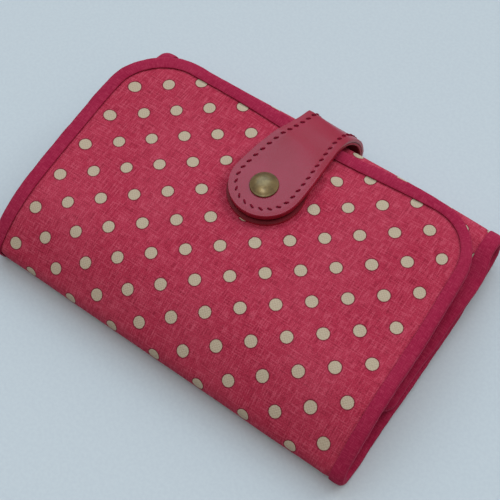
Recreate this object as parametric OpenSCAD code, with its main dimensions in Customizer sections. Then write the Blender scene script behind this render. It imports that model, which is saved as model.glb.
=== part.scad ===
// A padded fabric wallet that folds in three and closes with a leather tab and a snap.
// Millimetres. X runs along the folds, Y from the lower fold to the top fold, Z up.
// The origin is the middle of the back panel's underside. The wallet is shown closed.

/* [Wallet] */
// Length along the folds
wallet_l = 144; // [110:1:200]
// Depth over both folds
wallet_d = 98; // [86:1:125]
// Outer radius of the lower fold, beside which the front flap hinges
low_fold_r = 6.5; // [5.5:0.1:9]

/* [Front flap] */
// Slope at which the flap leaves the lower fold, degrees
flap_rise = 40; // [30:1:50]
// Length of the curve that levels the flap out
flap_zone = 27; // [20:1:34]
// Slope where that curve ends, degrees
flap_slope = 5; // [3:0.5:7]
// Slope at the flap's free edge, degrees
flap_droop = -5; // [-8:0.5:-2]
// Distance from the top fold back to the flap's free edge
flap_setback = 5.6; // [4:0.2:9]
// Radius of the flap's two free corners
flap_corner_r = 22; // [12:1:30]

/* [Inner flap] */
// Distance from the top fold to the inner flap's free edge
inner_flap_d = 74; // [60:1:78]
// Slope of the inner flap down from the top fold, degrees
inner_slope = 5.7; // [4.5:0.1:6.2]
// Radius of the inner flap's two free corners
inner_corner_r = 18; // [10:1:24]

/* [Fabric] */
// Thickness of the outer linen
cover_t = 0.7; // [0.65:0.05:0.9]
// Thickness of the wadding
wadding_t = 1.7; // [1.2:0.1:2.2]
// Thickness of the lining
lining_t = 0.6; // [0.4:0.05:0.9]
// Width of the edge binding on each face
binding_w = 5.3; // [4:0.1:7]
// Thickness of the binding tape
binding_t = 0.45; // [0.3:0.05:0.6]

/* [Pockets] */
// Thickness of the pocket cloth
pocket_t = 0.5; // [0.4:0.05:0.7]
// Slack between a pocket and what lies behind it
pocket_gap = 0.3; // [0.25:0.05:0.5]
// Number of stepped card pockets
pocket_count = 3; // [2:1:3]
// Step between one card pocket's mouth and the next
pocket_step = 13; // [9:1:15]
// Distance from the stud's washer to the first card pocket's mouth
pocket_mouth = 2; // [1:0.5:5]
// Depth of the shortest card pocket
pocket_depth = 19; // [15:1:20]
// Distance from the inner flap's free edge to the note pocket's mouth
note_mouth = 6; // [3:1:9]
// Depth of the note pocket
note_depth = 62; // [45:1:64]

/* [Leather tab] */
// Thickness of the tab's outer leather
leather_t = 1.4; // [1.1:0.1:1.6]
// Thickness of the tab's lining leather
backing_t = 1; // [0.8:0.1:1.2]
// Width of the tab's round head
tab_head_w = 25.4; // [22:0.2:29]
// Width of the tab's neck and root
tab_neck_w = 17.6; // [14:0.2:22]
// Distance from the top fold to the snap's centre
snap_reach = 35.8; // [31:0.2:39]
// Distance of the snap's centre to the right of the wallet's middle
snap_x = -0.4; // [-10:0.2:10]
// Distance from the snap's centre back to the head's centre
snap_offset = 1.2; // [0:0.1:2]
// Angle at which the tab leans in plan, degrees
tab_lean = 5.6; // [0:0.2:9]
// Distance that the loop stands out behind the top fold
loop_out = 7; // [6:0.1:9]
// Outer radius of the loop's lower bend
loop_low_r = 4; // [3.4:0.1:5]
// Angle at which the loop's rising leg leans in over the wallet, degrees
leg_lean = 16; // [8:1:20]
// Outer radius of the loop's upper bend
crest_r = 15; // [13:0.1:15.4]
// Length of the sewn end that lies under the back panel
root_l = 23; // [16:1:28]
// Thickness of the leather patch under the stud
patch_t = 1.2; // [1:0.1:1.6]
// Distance that the patch's outline stands outside the tab head's
patch_over = 0.8; // [0.2:0.1:2]
// Depth that the patch is pressed into the padding
press = 1; // [0.4:0.1:1.1]

/* [Snap] */
// Diameter of the snap's cap
cap_d = 9.8; // [8:0.2:12.4]
// Height of the cap's dome
cap_h = 1.9; // [1.4:0.1:2.4]
// Diameter of the socket and of the washer
socket_d = 9; // [8:0.5:11]
// Diameter of the stud's nub
stud_d = 4.2; // [3.6:0.1:4.8]
// Gap between the patch and the tab when the snap is closed
snap_gap = 0.8; // [0.8:0.1:1.4]

/* [Hidden] */
$fn = 96;

// Colours of the cloth, the binding, the leather and the metal
linen = "#b03a57";
tape = "#9c2549";
hide = "#8e2a40";
brass = "#8d7d55";

// Steps along most bends, along the small bends of the lift and along the long bends
bend_steps = 16;
lift_steps = 6;
fold_steps = 30;

// Length of the lift over its height
lift_share = 5;

// One overrun for all cuts, and the gap from the strap's sewn end to where the panel starts to lift
over = 4;
root_gap = 2;

panel_t = cover_t + wadding_t + lining_t;
strap_t = leather_t + backing_t;
y_low = -wallet_d / 2;
y_top = wallet_d / 2;

// A path is a list of [y, z, angle], where angle is the direction of travel.
function turn(p, a, r) = p + r * [sin(a), -cos(a)];

// Points of a bend from point p, turning from angle a to angle b along length l.
function bend(p, a, b, l, n = bend_steps) =
    let (r = l * 180 / PI / (b - a), c = turn(p, a, -r))
    [for (i = [1:n]) let (t = a + (b - a) * i / n) concat(turn(c, t, r), t)];

// The point at the end of a straight run of length l.
function run(p, a, l) = [concat(p + l * [cos(a), sin(a)], a)];
function last(path) = path[len(path) - 1];
function at(q) = [q[0], q[1]];

// A point moved by distance o to the right of the direction of travel.
function beside(q, o) = at(q) + o * [sin(q[2]), -cos(q[2])];
function arc_l(r, a) = r * a * PI / 180;

// Height of a path at a given y, where y rises along it.
function height(path, y, o = 0) = lookup(y, [for (q = path) beside(q, o)]);
function slope(path, y) = lookup(y, [for (q = path) [q[0], q[2]]]);

// The front flap's outer face, from the split in the lower fold to its free edge and past it. The
// flap turns about the line on its tape's outer face, binding_t outside this point.
hinge = [y_low, low_fold_r];
flap_start = [concat(hinge, 90)];
flap_bend = bend(hinge, 90, flap_rise, arc_l(low_fold_r, 90 - flap_rise));
flap_curve = bend(at(last(flap_bend)), flap_rise, flap_slope, flap_zone);
flap_level = bend(at(last(flap_curve)), flap_slope, flap_droop, wallet_d - flap_zone + over);
flap_path = concat(flap_start, flap_bend, flap_curve, flap_level);
flap_end = y_top - flap_setback;

// The back body's outer face: the lower fold's lower half, the back panel, which lifts over the
// tab's sewn end, the top fold and the inner flap.
root_end = y_top - root_l;
lift_l = lift_share * strap_t;
lift_a = 2 * atan(strap_t / lift_l);
lift_r = lift_l / (2 * sin(lift_a));
top_r = (height(flap_path, flap_end - binding_w, panel_t + binding_t) - pocket_gap - strap_t) / 2;
back_bend = bend(hinge, -90, 0, arc_l(low_fold_r, 90));
back_flat = run(at(last(back_bend)), 0, root_end - lift_l - root_gap - (y_low + low_fold_r));
lift_up = bend(at(last(back_flat)), 0, lift_a, arc_l(lift_r, lift_a), lift_steps);
lift_over = bend(at(last(lift_up)), lift_a, 0, arc_l(lift_r, lift_a), lift_steps);
back_high = run(at(last(lift_over)), 0, y_top - top_r - last(lift_over)[0]);
top_a = 180 + inner_slope;
top_bend = bend(at(last(back_high)), 0, top_a, arc_l(top_r, top_a), fold_steps);
inner_end = y_top - inner_flap_d;
inner_run = run(at(last(top_bend)), top_a, last(top_bend)[0] - inner_end + over);
floor_path = concat([last(back_bend)], back_flat, lift_up, lift_over, back_high);
back_path = concat([concat(hinge, -90)], back_bend, back_flat, lift_up, lift_over, back_high,
    top_bend, inner_run);

// The tab's outer face, from its hinge line behind the top fold up the leg and over the crest to
// past the tip. The head lies parallel to the flap at the snap.
snap_y = y_top - snap_reach;
tab_slope = slope(flap_path, snap_y);
head_n = [-sin(tab_slope), cos(tab_slope)];
seat_z = patch_t - press;
tab_top = seat_z + snap_gap + strap_t;
tab_seat = [snap_y, height(flap_path, snap_y)] + tab_top * head_n;
tab_hinge = [y_top + loop_out, loop_low_r * (1 + sin(leg_lean))];
leg_a = 90 + leg_lean;
leg_l = (tab_seat - tab_hinge) * head_n / cos(leg_lean - tab_slope);
crest_turn = 180 + tab_slope - leg_a;
leg_run = run(tab_hinge, leg_a, leg_l - crest_r * tan(crest_turn / 2));
crest_bend = bend(at(last(leg_run)), leg_a, 180 + tab_slope, arc_l(crest_r, crest_turn), fold_steps);
head_run = run(at(last(crest_bend)), 180 + tab_slope, last(crest_bend)[0] - snap_y + tab_head_w);
tab_path = concat([concat(tab_hinge, leg_a)], leg_run, crest_bend, head_run);

// The tab's fixed end, from the same hinge line down and in under the back panel.
root_bend = bend(tab_hinge, leg_lean - 90, -180, arc_l(loop_low_r, leg_a), fold_steps);
root_run = run(at(last(root_bend)), -180, last(root_bend)[0] - root_end);
root_path = concat([concat(tab_hinge, leg_lean - 90)], root_bend, root_run);
root_x = snap_x + (tab_hinge[0] - snap_y) * tan(tab_lean);

// Distance from the snap's centre back to where the patch is cut off.
patch_back = tab_head_w / 2 + snap_offset;

// Length of the face that the tape leaves bare.
face_l = wallet_l - 2 * binding_w;

// The snap's fits: slack round a round piece, sheet metal, and radii of nub, barrel and post.
fit = 0.05;
wall_t = 0.35;
flange_t = 0.3;
washer_t = 0.5;
nub_r = stud_d / 2;
barrel_r = nub_r + 2 * fit + wall_t;
post_r = nub_r / 2;

// A sheet between depths a and b below a path's outer face, along length l.
// side is 1 where the outer face lies to the right of travel, and -1 where it lies to the left.
module sheet(path, side, a, b, l) {
    outer = [for (q = path) beside(q, -side * a)];
    inner = [for (q = path) beside(q, -side * b)];
    rotate([90, 0, 90])
        linear_extrude(l, center = true)
            polygon(concat(outer, [for (i = [len(inner) - 1:-1:0]) inner[i]]));
}

// A plan outline of length l from far behind one edge to y_end, with round corners at that end.
// dir is 1 where the end faces +Y.
module plan(l, y_end, r, dir) {
    translate([0, y_end])
        rotate(90 - 90 * dir) {
            translate([-l / 2, -wallet_d - over])
                square([l, wallet_d + over - r]);
            translate([-l / 2 + r, -2 * r])
                square([l - 2 * r, 2 * r]);
            for (s = [-1, 1])
                translate([s * (l / 2 - r), -r])
                    circle(r);
        }
}

// The space above the lower fold's lower half that the inner flap's outline is cut from.
module inner_zone() {
    translate([-wallet_l, y_low - over, low_fold_r])
        cube([2 * wallet_l, inner_end + inner_corner_r + over - y_low, wallet_d]);
}

// Cuts the inner flap's free edge to its round-cornered outline, drawn in by inset.
module inner_cut(inset) {
    difference() {
        inner_zone();
        linear_extrude(2 * wallet_d)
            plan(wallet_l - 2 * inset, inner_end + inset, inner_corner_r - inset, -1);
    }
}

// A layer of the back body between depths a and b, drawn in by inset from every edge.
module back_layer(a, b, inset) {
    difference() {
        sheet(back_path, 1, a, b, wallet_l - 2 * inset);
        inner_cut(inset);
    }
}

// A layer of the front flap between depths a and b, drawn in by inset from every edge.
module flap_layer(a, b, inset) {
    intersection() {
        sheet(flap_path, -1, a, b, wallet_l - 2 * inset);
        translate([0, 0, -over])
            linear_extrude(2 * wallet_d)
                plan(wallet_l - 2 * inset, flap_end - inset, flap_corner_r - inset, 1);
    }
}

// The linen thins under the tape, so the tape lies flush with it.
module back_cover() {
    color(linen) {
        back_layer(0, cover_t, binding_w);
        back_layer(binding_t, cover_t, binding_t);
    }
}

module back_wadding() {
    color("ivory") back_layer(cover_t, cover_t + wadding_t, binding_t);
}

module back_lining() {
    color("#8f3350") back_layer(panel_t - lining_t, panel_t, binding_t);
}

// The tape wraps the edges: a channel with two lips and a wall.
module back_binding() {
    color(tape)
        difference() {
            back_layer(0, panel_t + binding_t, 0);
            back_layer(binding_t, panel_t, binding_t);
            back_layer(-binding_t, panel_t + 2 * binding_t, binding_w);
        }
}

// A layer of the flap with the hole for the stud's post.
module flap_sheet(a, b) {
    difference() {
        flap_layer(a, b, binding_t);
        on_snap()
            cylinder(h = 4 * panel_t, r = post_r + fit, center = true);
    }
}

// The patch's outline through the whole flap, grown by a distance.
module patch_zone(grow) {
    linear_extrude(2 * wallet_d)
        intersection() {
            tab_plan(-patch_over - grow);
            translate([-wallet_l, snap_y - tab_head_w - grow])
                square([2 * wallet_l, tab_head_w + patch_back + 2 * grow]);
        }
}

// The linen dips under the patch, where the snap presses the padding in.
module flap_cover() {
    color(linen)
        difference() {
            union() {
                flap_sheet(0, cover_t);
                intersection() {
                    flap_sheet(0, cover_t + press);
                    patch_zone(pocket_gap + cover_t);
                }
            }
            intersection() {
                flap_sheet(-over, press);
                patch_zone(pocket_gap);
            }
        }
}

module flap_wadding() {
    color("ivory")
        difference() {
            flap_sheet(cover_t, cover_t + wadding_t);
            intersection() {
                flap_sheet(0, cover_t + press);
                patch_zone(pocket_gap + cover_t);
            }
        }
}

module flap_lining() {
    color("#8f3350") flap_sheet(panel_t - lining_t, panel_t);
}

module flap_binding() {
    color(tape)
        difference() {
            flap_layer(-binding_t, panel_t + binding_t, 0);
            flap_layer(0, panel_t, binding_t);
            flap_layer(-2 * binding_t, panel_t + 2 * binding_t, binding_w);
        }
}

// A pocket over the back panel's lining, open toward the lower fold.
module note_pocket() {
    depth = panel_t + pocket_gap;
    color("#a34460")
        intersection() {
            sheet(floor_path, 1, depth, depth + pocket_t, face_l - 2 * pocket_gap);
            translate([-wallet_l, inner_end - note_mouth, 0])
                cube([2 * wallet_l, note_depth, wallet_d]);
        }
}

// Card pocket k of the stepped stack on the flap's lining, open toward the free edge.
module card_pocket(k) {
    depth = panel_t + pocket_gap + (k - 1) * (pocket_t + pocket_gap);
    first = snap_y - socket_d / 2 - pocket_mouth;
    mouth = first - (k - 1) * pocket_step;
    foot = first - (pocket_count - 1) * pocket_step - pocket_depth;
    color("#a34460")
        if (k <= pocket_count)
            intersection() {
                sheet(flap_path, -1, depth, depth + pocket_t, face_l - 2 * pocket_gap);
                translate([-wallet_l, foot, 0])
                    cube([2 * wallet_l, mouth - foot, wallet_d]);
            }
}

// The tab's outline in plan, drawn in by inset: a round head that narrows to the neck.
module tab_plan(inset) {
    head_r = tab_head_w / 2;
    half = [for (i = [0:bend_steps])
        let (t = i / bend_steps)
        [(tab_neck_w + (tab_head_w - tab_neck_w) * (1 + cos(180 * t)) / 2) / 2 - inset,
            snap_offset + t * (snap_reach - 2 * snap_offset)]];
    tail = [tab_neck_w / 2 - inset, snap_reach + 2 * loop_out + over];
    side = concat(half, [tail]);
    translate([snap_x, snap_y])
        rotate(-tab_lean) {
            translate([0, snap_offset])
                circle(head_r - inset);
            polygon(concat(side, [for (i = [len(side) - 1:-1:0]) [-side[i][0], side[i][1]]]));
        }
}

// A layer of the tab between depths a and b, with a hole for the snap.
module tab_layer(a, b) {
    difference() {
        intersection() {
            sheet(tab_path, 1, a, b, wallet_l);
            linear_extrude(2 * wallet_d)
                tab_plan(0);
        }
        on_snap()
            cylinder(h = tab_top + over, r = barrel_r + fit);
    }
}

module tab_leather() {
    color(hide) tab_layer(0, leather_t);
}

module tab_backing() {
    color("#7a2036") tab_layer(leather_t, strap_t);
}

// The strap's fixed end: the lower half of the loop and the part sewn under the back panel.
module tab_root() {
    color(hide)
        translate([root_x, 0, 0])
            sheet(root_path, -1, 0, strap_t, tab_neck_w);
}

// Everything of the snap stands on the flap's outer face, square to it.
module on_snap() {
    translate([snap_x, snap_y, height(flap_path, snap_y)])
        rotate([tab_slope, 0, 0])
            children();
}

module stud_patch() {
    color("#7a2036")
        difference() {
            intersection() {
                sheet(flap_path, -1, -seat_z, press, wallet_l);
                patch_zone(0);
            }
            on_snap()
                cylinder(h = 4 * panel_t, r = post_r + fit, center = true);
        }
}

// The stud: a flange on the patch and a waisted nub above it.
module snap_stud() {
    rim_r = socket_d / 2;
    lip_r = nub_r - fit;
    waist_r = lip_r - wall_t / 2;
    base_z = seat_z + flange_t;
    top_z = seat_z + snap_gap + leather_t;
    color(brass)
        on_snap()
            rotate_extrude()
                polygon([
                    [0, seat_z], [rim_r, seat_z], [rim_r, base_z - flange_t / 2], [nub_r, base_z],
                    [waist_r, base_z + wall_t], [lip_r, top_z - 2 * wall_t], [lip_r - wall_t, top_z],
                    [0, top_z]
                ]);
}

// The washer behind the flap's lining, with the post that rivets the stud to it.
module stud_washer() {
    color(brass)
        on_snap()
            translate([0, 0, -panel_t - washer_t - fit]) {
                cylinder(h = washer_t, r = socket_d / 2);
                cylinder(h = washer_t + fit + panel_t + seat_z, r = post_r);
            }
}

// The domed cap on the tab, with a short straight rim.
module snap_cap() {
    dome_r = ((cap_d / 2) ^ 2 + (cap_h - flange_t) ^ 2) / (2 * (cap_h - flange_t));
    color(brass)
        on_snap()
            translate([0, 0, tab_top])
                intersection() {
                    cylinder(h = cap_h, r = cap_d / 2);
                    translate([0, 0, cap_h - dome_r])
                        sphere(dome_r);
                }
}

// The socket under the tab: a rim against the backing and a barrel up through the leather.
module snap_socket() {
    rim_z = seat_z + flange_t + 2 * fit;
    back_z = seat_z + snap_gap;
    color(brass)
        on_snap()
            rotate_extrude()
                polygon([
                    [nub_r + fit, rim_z], [socket_d / 2, rim_z], [socket_d / 2, back_z],
                    [barrel_r, back_z], [barrel_r, tab_top], [nub_r + fit, tab_top]
                ]);
}

back_cover();
back_wadding();
back_lining();
back_binding();
note_pocket();
tab_root();
flap_cover();
flap_wadding();
flap_lining();
flap_binding();
card_pocket(1);  // card_pocket_1
card_pocket(2);  // card_pocket_2
card_pocket(3);  // card_pocket_3
stud_patch();
snap_stud();
stud_washer();
tab_leather();
tab_backing();
snap_cap();
snap_socket();
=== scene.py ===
from math import atan2, ceil, cos, degrees, hypot, pi, radians, sin, tan

import bmesh
import bpy
import numpy as np
from mathutils import Matrix, Vector


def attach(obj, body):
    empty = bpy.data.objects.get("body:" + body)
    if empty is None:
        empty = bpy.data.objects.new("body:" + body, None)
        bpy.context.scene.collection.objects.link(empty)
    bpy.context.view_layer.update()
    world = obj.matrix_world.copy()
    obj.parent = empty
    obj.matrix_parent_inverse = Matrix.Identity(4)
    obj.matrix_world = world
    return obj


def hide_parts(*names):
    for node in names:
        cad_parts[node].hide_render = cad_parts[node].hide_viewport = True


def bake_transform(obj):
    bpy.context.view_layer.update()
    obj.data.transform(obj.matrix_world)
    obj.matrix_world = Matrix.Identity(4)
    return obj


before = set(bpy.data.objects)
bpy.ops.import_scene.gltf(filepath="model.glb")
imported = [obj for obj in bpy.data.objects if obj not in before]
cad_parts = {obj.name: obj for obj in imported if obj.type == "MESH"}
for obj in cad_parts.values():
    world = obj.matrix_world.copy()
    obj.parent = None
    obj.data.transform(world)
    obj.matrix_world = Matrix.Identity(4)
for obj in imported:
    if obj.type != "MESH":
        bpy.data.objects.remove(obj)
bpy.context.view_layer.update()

# The wallet's sizes in millimetres, the same as the frame's. X runs along the folds, Y from the
# lower fold to the top fold, and Z is up.
WALLET_L = 144.0
WALLET_D = 98.0
Y_LOW = -WALLET_D / 2
Y_TOP = WALLET_D / 2
LOW_FOLD_R = 6.5
FLAP_RISE = 40.0
FLAP_ZONE = 27.0
FLAP_SLOPE = 5.0
FLAP_DROOP = -5.0
FLAP_END = Y_TOP - 5.6
FLAP_CORNER_R = 22.0
INNER_END = Y_TOP - 74.0
INNER_SLOPE = 5.7
INNER_CORNER_R = 4.5
COVER_T = 0.7
WADDING_T = 1.7
LINING_T = 0.6
PANEL_T = COVER_T + WADDING_T + LINING_T
BINDING_W = 5.3
BINDING_T = 0.45
POCKET_T = 0.5
POCKET_GAP = 0.3
CARD_MOUTHS = (6.7, -6.3, -19.3)
CARD_FOOT = -38.3
NOTE_POCKET = (-31.0, 31.0)
LEATHER_T = 1.4
BACKING_T = 1.0
STRAP_T = LEATHER_T + BACKING_T
HEAD_R = 12.7
NECK_HALF = 8.8
SNAP_X = -0.4
SNAP_Y = Y_TOP - 35.8
SNAP_REACH = 35.8
SNAP_OFFSET = 1.2
SNAP_GAP = 0.8
TAB_LEAN = 5.6
LOOP_OUT = 7.0
LOOP_LOW_R = 4.0
LEG_LEAN = 16.0
CREST_R = 15.0
ROOT_END = Y_TOP - 23.0
PATCH_T = 1.2
PATCH_OVER = 0.8
PRESS = 1.0
SEAT_Z = PATCH_T - PRESS
TAB_TOP = SEAT_Z + SNAP_GAP + STRAP_T
CAP_R = 4.9
LIFT_L = 5 * STRAP_T
ROOT_GAP = 2.0
OVER = 4.0
MM = 0.001

# The lattice of printed dots on the flat linen: pitch across and along, first dot and radius.
DOT_PITCH_X = 17.6
DOT_PITCH_S = 13.98
DOT_X0 = -0.71
DOT_S0 = 11.56
DOT_R = 2.02
# Cloth isn't cut quite along the print: how far the lattice has drifted at the top fold.
DRIFT_X = 1.7
DRIFT_S = 1.6

# Bodies of the frame, and the height over which cloth and leather would bend at each hinge; it is handed to
# dress, which only bakes such pieces in place.
CASE = "case"
FLAP = "front_flap"
TAB = "tab"
FLAP_HINGE = (0, -0.049, 0.0065)
TAB_HINGE = (0, 0.056, 0.005103)
FLAP_BEND = 0.003
TAB_BEND = 0.0025

# The cloth pieces are parted on the flat bottom, at this distance from the lower fold's lowest point.
CUT_S = -8.0


def srgb(r, g, b):
    """A colour as a picture gives it, 0 to 255, as Blender's linear colour."""
    def one(v):
        v /= 255
        return v / 12.92 if v <= 0.04045 else ((v + 0.055) / 1.055) ** 2.4
    return (one(r), one(g), one(b), 1.0)


def ramp(v, start, end):
    """0 at start, 1 at end, which may be the smaller one, and a smooth step between."""
    t = np.clip((v - start) / (end - start), 0, 1)
    return t * t * (3 - 2 * t)


def ripple(x, y, wave, seed):
    """A smooth random field between about -1 and 1, the same at each run."""
    rng = np.random.default_rng(seed)
    total = 0
    count = 7
    for _ in range(count):
        a = rng.uniform(0, 2 * pi)
        k = 2 * pi / (wave * rng.uniform(0.7, 1.5))
        total = total + np.sin(k * (x * cos(a) + y * sin(a)) + rng.uniform(0, 2 * pi))
    return total / count ** 0.5 / 1.4


def steps(*knots):
    """Places from knot to knot, where each knot is (place, spacing up to the next knot)."""
    places = []
    for (a, gap), (b, _) in zip(knots, knots[1:]):
        places.append(np.linspace(a, b, max(1, ceil(abs(b - a) / gap)), endpoint=False))
    return np.append(np.concatenate(places), knots[-1][0])


# Paths. A path is traced from runs and bends, and kept as rows of these columns: arc length, y, z
# and angle in degrees.
RUN, Y, Z, ANGLE = range(4)


def trace(y, z, angle, parts, step=0.25):
    """Follows parts of (length, angle at the end) from a point."""
    rows = [(0.0, y, z, angle)]
    for length, end in parts:
        s0, y0, z0, a0 = rows[-1]
        n = max(1, ceil(length / step))
        turn = radians(end - a0)
        start = radians(a0)
        for i in range(1, n + 1):
            t = i / n
            if abs(turn) < 1e-9:
                rows.append((s0 + length * t, y0 + length * t * cos(start), z0 + length * t * sin(start), a0))
                continue
            r = length / turn
            now = start + turn * t
            rows.append((s0 + length * t, y0 + r * (sin(now) - sin(start)),
                         z0 - r * (cos(now) - cos(start)), degrees(now)))
    return np.array(rows)


def arc(r, angle):
    return r * radians(angle)


def look_up(rows, at, given, wanted):
    """Value in one column of a path's rows where another column is at. That one rises."""
    return np.interp(at, rows[:, given], rows[:, wanted])


def beside(rows, off):
    """A path's y and z, moved off millimetres to the right of the way it runs."""
    a = np.radians(rows[:, ANGLE])
    return rows[:, Y] + off * np.sin(a), rows[:, Z] - off * np.cos(a)


flap_rows = trace(Y_LOW, LOW_FOLD_R, 90, [
    (arc(LOW_FOLD_R, 90 - FLAP_RISE), FLAP_RISE), (FLAP_ZONE, FLAP_SLOPE),
    (WALLET_D - FLAP_ZONE + OVER, FLAP_DROOP)])
LIFT_A = 2 * degrees(atan2(STRAP_T, LIFT_L))
LIFT_R = LIFT_L / (2 * sin(radians(LIFT_A)))
inner_face = np.interp(FLAP_END - BINDING_W, *beside(flap_rows, PANEL_T + BINDING_T))
TOP_R = (inner_face - POCKET_GAP - STRAP_T) / 2
flat_l = ROOT_END - LIFT_L - ROOT_GAP - (Y_LOW + LOW_FOLD_R)
high_l = Y_TOP - TOP_R - (ROOT_END - ROOT_GAP)
inner_l = (Y_TOP - TOP_R - INNER_END) / cos(radians(INNER_SLOPE)) + OVER
back_rows = trace(Y_LOW, LOW_FOLD_R, -90, [
    (arc(LOW_FOLD_R, 90), 0), (flat_l, 0), (arc(LIFT_R, LIFT_A), LIFT_A), (arc(LIFT_R, LIFT_A), 0),
    (high_l, 0), (arc(TOP_R, 180 + INNER_SLOPE), 180 + INNER_SLOPE), (inner_l, 180 + INNER_SLOPE)])

# The whole wallet as one flat cloth: s is 0 at the lower fold's lowest point, grows along the front
# flap and falls along the back panel, the top fold and the inner flap. turned is the direction of
# the outer face's normal in degrees.
S_HINGE = arc(LOW_FOLD_R, 90)
cloth_s, cloth_y, cloth_z, turned = np.concatenate([
    back_rows[::-1] * (-1, 1, 1, 1) + (S_HINGE, 0, 0, 270), flap_rows[1:] + (S_HINGE, 0, 0, 90)]).T
cloth_turn = np.radians(turned)
S_MAX = S_HINGE + look_up(flap_rows, FLAP_END, Y, RUN)
inner_rows = back_rows[back_rows[:, ANGLE] > 180 + INNER_SLOPE - 0.001]
S_MIN = S_HINGE - look_up(inner_rows[::-1], INNER_END, Y, RUN)
S_TOP = S_HINGE - inner_rows[0, RUN]


# How the real cloth departs from the plain paths, in millimetres. The strap pulls the flap's free edge
# down, the sides sag, the top fold's ends are pinched, and neither fold is quite straight. On the
# right the inner flap hangs down to the base's side, which stands up a little.
STRAP_SAG = 3.6
STRAP_SAG_REACH = 30.0
SAG_MIDDLE = -10.0
SAG_SPAN = 55.0
LEFT_SAG = 1.3
RIGHT_SAG = 0.5
PINCH = 4.0
PINCH_FROM = 26.0
FOLD_IN = 2.1
INNER_DROOP = 2.6
BACK_LIFT = 2.4
PATCH_CLEAR = 7.0
SIDE_FROM = 56.0
BASE_SIDE_OUT = 0.35


def eased(*knots):
    """A smooth curve along knots of (place in mm, value in mm), as a function."""
    places, values = np.array(knots).T
    fine = np.arange(places[0] - 30, places[-1] + 30, 0.5)
    level = np.interp(fine, places, values)
    for _ in range(3):
        level = np.convolve(np.pad(level, 7, mode="edge"), np.full(15, 1 / 15), mode="valid")
    return lambda x: np.interp(x, fine, level)


# Shifts along the folds and the free edge by x, and of the sides by y.
strap_sag_at = eased((-6, 0), (34, STRAP_SAG))
top_fold_out = eased((-72, 1.0), (-56, 1.0), (-40, 0.62), (-14, 0.75), (10, 0.3), (24, 0), (44, -0.3),
                     (72, -0.5))
free_edge_out = eased((-72, 0.9), (-46, 1.0), (-22, 1.35), (-10, 1.0), (10, 0.1), (23, -0.15), (50, 0.05),
                      (60, -0.6), (72, -0.4))
low_fold_out = eased((-72, -0.2), (-49, 0), (-18, 0.65), (7, 0.95), (32, 1.35), (45, 1.8), (72, 2.3))
left_side_in = eased((-42, -0.8), (-30, -0.5), (-18, -0.8), (0, -1.35), (13, -1.9), (26, -1.5),
                     (38, -0.2), (45, 0))
right_side_in = eased((0, 0), (22, 1.2), (45, 1.2))
inner_side_out = eased((-16, -1.4), (0, -0.5), (40, 1.0))
base_side_out = eased((-30, 0), (-10, 0.5), (10, 0.6), (30, 0.9), (45, 0.4))


def sag(x, y):
    """How far the flap and the panel under it hang below their plain paths."""
    strap = strap_sag_at(y) * np.exp(-(x / STRAP_SAG_REACH) ** 2)
    strap = strap * ramp(patch_distance(x, y), 0, PATCH_CLEAR)
    off = np.clip((x - SAG_MIDDLE) / SAG_SPAN, -1.05, 1.3)
    side = np.where(x < SAG_MIDDLE, LEFT_SAG, RIGHT_SAG) * off ** 2
    return strap + side * ramp(y, 33.0, 5.0)


def settle(x, y, z, s):
    """Moves points from the plain paths to where the sewn cloth lies. Each shift is a size from the
    list above times smooth masks, which say how far the point is in the part that moves."""
    back = ramp(s, CUT_S, CUT_S - 20.0)
    rear = ramp(y, 6.0, 42.0) * back
    front = s > S_HINGE
    left = ramp(-x, SIDE_FROM, SIDE_FROM + 13.0)
    right = ramp(x, SIDE_FROM, SIDE_FROM + 14.0)
    right_flap = ramp(s, S_TOP, S_TOP - 12.0) * ramp(x, SIDE_FROM - 4.0, SIDE_FROM + 16.0)
    right_base = ramp(s, CUT_S, CUT_S - 24.0) * ramp(s, S_TOP + 24.0, S_TOP + 44.0)
    right_base = right_base * ramp(x, SIDE_FROM, SIDE_FROM + 16.0)
    pinch = ramp(np.abs(x), PINCH_FROM, WALLET_L / 2 + 6.0)
    over_top = np.where(s < S_TOP, 1.0, ramp(z, 12.0, 20.0) * (y > 0))
    hang = np.where(front, ramp(z, 5.0, 13.0), over_top)
    low = np.interp(z, (5.0, 12.0), (1.0, 0.2))

    new_z = z - PINCH * pinch * rear * np.clip(z - 3.3, 0, None) / 15.5 - sag(x, y) * hang
    new_z = new_z - INNER_DROOP * right_flap + BACK_LIFT * right_base

    new_y = y + top_fold_out(x) * rear * ramp(z, 1.0, 8.0)
    new_y = new_y + free_edge_out(x) * ramp(y, 18.0, 43.0) * front
    new_y = new_y - low_fold_out(x) * ramp(y, -34.0, -46.0) * low

    new_x = x + FOLD_IN * ramp(x, -36.0, -72.0) * rear * ramp(z, 6.0, 14.0)
    new_x = new_x + (left_side_in(y) * left - right_side_in(y) * right) * front
    new_x = new_x + base_side_out(y) * right * (1 - front) * ramp(z, 9.0, 4.0)
    new_x = new_x + BASE_SIDE_OUT * right_base + inner_side_out(y) * right_flap
    return new_x, new_y, new_z


def cloth(x, s, h):
    """The place of flat point (x, s) at height h over the outer face, in millimetres."""
    x, s, h = np.broadcast_arrays(x, s, h)
    turned = np.interp(s, cloth_s, cloth_turn)
    y = np.interp(s, cloth_s, cloth_y) + h * np.cos(turned)
    z = np.interp(s, cloth_s, cloth_z) + h * np.sin(turned)
    return np.stack(settle(x, y, z, s), axis=-1)


def corners(s):
    """How far s lies past the start of each end's rounded corners, and the corners' radius."""
    return ((s - (S_MAX - FLAP_CORNER_R), FLAP_CORNER_R), ((S_MIN + INNER_CORNER_R) - s, INNER_CORNER_R))


def edge_distance(x, s):
    """Distance of a flat point inward from the wallet's outline."""
    ax = np.abs(x)
    d = np.minimum(WALLET_L / 2 - ax, np.minimum(S_MAX - s, s - S_MIN))
    for over, r in corners(s):
        out = ax - (WALLET_L / 2 - r)
        corner = (over > 0) & (out > 0)
        d = np.where(corner, r - np.hypot(out, over), d)
    return d


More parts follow.
